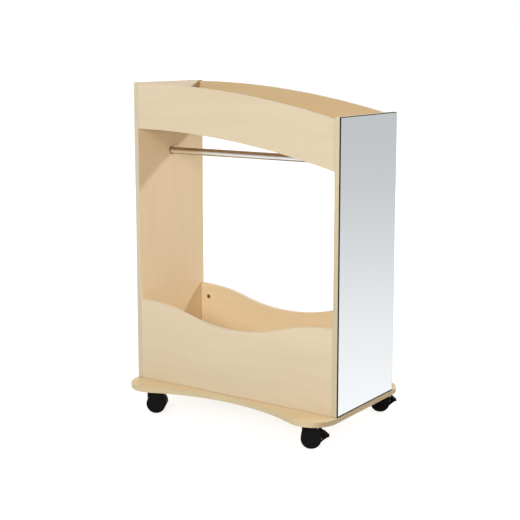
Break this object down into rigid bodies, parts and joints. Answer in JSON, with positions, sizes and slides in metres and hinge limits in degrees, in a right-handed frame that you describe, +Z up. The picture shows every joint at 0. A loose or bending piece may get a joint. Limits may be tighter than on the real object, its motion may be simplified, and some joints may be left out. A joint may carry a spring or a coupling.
{
  "type": "dress up storage unit with mirror",
  "caption": "Dressing-up storage unit: hanging rail over a wave-fronted bin on casters, tray between curved fascias, and a mirror covering the low side panel.",
  "frame": {"origin": "on the floor, under the middle of the base board", "axes": "+Z up, +X towards the mirror side, -Y towards the front (the view of the picture comes from -Y and +X)"},
  "size_m": [0.8, 0.5394, 1.109],
  "materials": {
    "maple_board": "satin laminate in a pale maple grain",
    "dark_backing": "dark brown paint",
    "mirror_glass": "silvered float glass",
    "chrome_tube": "bright chrome",
    "chrome_socket": "bright chrome",
    "steel": "zinc plated",
    "cam_zinc": "dark die-cast zinc",
    "dowel_wood": "plain beech",
    "black_hood": "satin black nylon",
    "black_wheel": "satin black nylon",
    "black_lever": "satin black nylon"
  },
  "bodies": {
    "carcass": {"base_board": "maple_board", "tall_side_panel": "maple_board", "low_side_panel": "maple_board", "front_fascia": "maple_board", "back_fascia": "maple_board", "front_lower_panel": "maple_board", "back_lower_panel": "maple_board", "tray_floor": "maple_board", "mirror_backing": "dark_backing", "mirror_glass": "mirror_glass", "hanging_rail": "chrome_tube", "left_rail_socket": "chrome_socket", "right_rail_socket": "chrome_socket", "rail_socket_screws": "steel", "cam_locks": "cam_zinc", "cam_bolts": "steel", "wood_dowels": "dowel_wood", "base_screws": "steel", "caster_screws": "steel", "front_left_caster_plate": "steel", "front_left_caster_kingpin": "steel", "front_right_caster_plate": "steel", "front_right_caster_kingpin": "steel", "back_left_caster_plate": "steel", "back_left_caster_kingpin": "steel", "back_right_caster_plate": "steel", "back_right_caster_kingpin": "steel"},
    "front_left_swivel": {"front_left_caster_hood": "black_hood", "front_left_caster_axle": "steel"},
    "front_left_near_wheel": {"front_left_caster_near_wheel": "black_wheel"},
    "front_left_far_wheel": {"front_left_caster_far_wheel": "black_wheel"},
    "front_right_swivel": {"front_right_caster_hood": "black_hood", "front_right_caster_axle": "steel", "front_right_brake_lever_pin": "steel"},
    "front_right_near_wheel": {"front_right_caster_near_wheel": "black_wheel"},
    "front_right_far_wheel": {"front_right_caster_far_wheel": "black_wheel"},
    "front_right_brake": {"front_right_brake_lever": "black_lever"},
    "back_left_swivel": {"back_left_caster_hood": "black_hood", "back_left_caster_axle": "steel"},
    "back_left_near_wheel": {"back_left_caster_near_wheel": "black_wheel"},
    "back_left_far_wheel": {"back_left_caster_far_wheel": "black_wheel"},
    "back_right_swivel": {"back_right_caster_hood": "black_hood", "back_right_caster_axle": "steel", "back_right_brake_lever_pin": "steel"},
    "back_right_near_wheel": {"back_right_caster_near_wheel": "black_wheel"},
    "back_right_far_wheel": {"back_right_caster_far_wheel": "black_wheel"},
    "back_right_brake": {"back_right_brake_lever": "black_lever"}
  },
  "joints": [
    {"name": "front_left_swivel_turn", "type": "hinge", "parent": "carcass", "child": "front_left_swivel", "pos_m": [-0.309, -0.221, 0.08], "axis": [0, 0, 1], "continuous": true},
    {"name": "front_left_near_wheel_spin", "type": "hinge", "parent": "front_left_swivel", "child": "front_left_near_wheel", "pos_m": [-0.29168, -0.211, 0.0325], "axis": [-0.5, 0.866, 0], "continuous": true},
    {"name": "front_left_far_wheel_spin", "type": "hinge", "parent": "front_left_swivel", "child": "front_left_far_wheel", "pos_m": [-0.29168, -0.211, 0.0325], "axis": [-0.5, 0.866, 0], "continuous": true},
    {"name": "front_right_swivel_turn", "type": "hinge", "parent": "carcass", "child": "front_right_swivel", "pos_m": [0.309, -0.221, 0.08], "axis": [0, 0, 1], "continuous": true},
    {"name": "front_right_near_wheel_spin", "type": "hinge", "parent": "front_right_swivel", "child": "front_right_near_wheel", "pos_m": [0.32632, -0.211, 0.0325], "axis": [-0.5, 0.866, 0], "continuous": true},
    {"name": "front_right_far_wheel_spin", "type": "hinge", "parent": "front_right_swivel", "child": "front_right_far_wheel", "pos_m": [0.32632, -0.211, 0.0325], "axis": [-0.5, 0.866, 0], "continuous": true},
    {"name": "front_right_brake_press", "type": "hinge", "parent": "front_right_swivel", "child": "front_right_brake", "pos_m": [0.34364, -0.201, 0.0655], "axis": [0.5, -0.866, 0], "range_deg": [0, 16]},
    {"name": "back_left_swivel_turn", "type": "hinge", "parent": "carcass", "child": "back_left_swivel", "pos_m": [-0.309, 0.221, 0.08], "axis": [0, 0, 1], "continuous": true},
    {"name": "back_left_near_wheel_spin", "type": "hinge", "parent": "back_left_swivel", "child": "back_left_near_wheel", "pos_m": [-0.29168, 0.231, 0.0325], "axis": [-0.5, 0.866, 0], "continuous": true},
    {"name": "back_left_far_wheel_spin", "type": "hinge", "parent": "back_left_swivel", "child": "back_left_far_wheel", "pos_m": [-0.29168, 0.231, 0.0325], "axis": [-0.5, 0.866, 0], "continuous": true},
    {"name": "back_right_swivel_turn", "type": "hinge", "parent": "carcass", "child": "back_right_swivel", "pos_m": [0.309, 0.221, 0.08], "axis": [0, 0, 1], "continuous": true},
    {"name": "back_right_near_wheel_spin", "type": "hinge", "parent": "back_right_swivel", "child": "back_right_near_wheel", "pos_m": [0.32632, 0.231, 0.0325], "axis": [-0.5, 0.866, 0], "continuous": true},
    {"name": "back_right_far_wheel_spin", "type": "hinge", "parent": "back_right_swivel", "child": "back_right_far_wheel", "pos_m": [0.32632, 0.231, 0.0325], "axis": [-0.5, 0.866, 0], "continuous": true},
    {"name": "back_right_brake_press", "type": "hinge", "parent": "back_right_swivel", "child": "back_right_brake", "pos_m": [0.34364, 0.241, 0.0655], "axis": [0.5, -0.866, 0], "range_deg": [0, 16]}
  ]
}
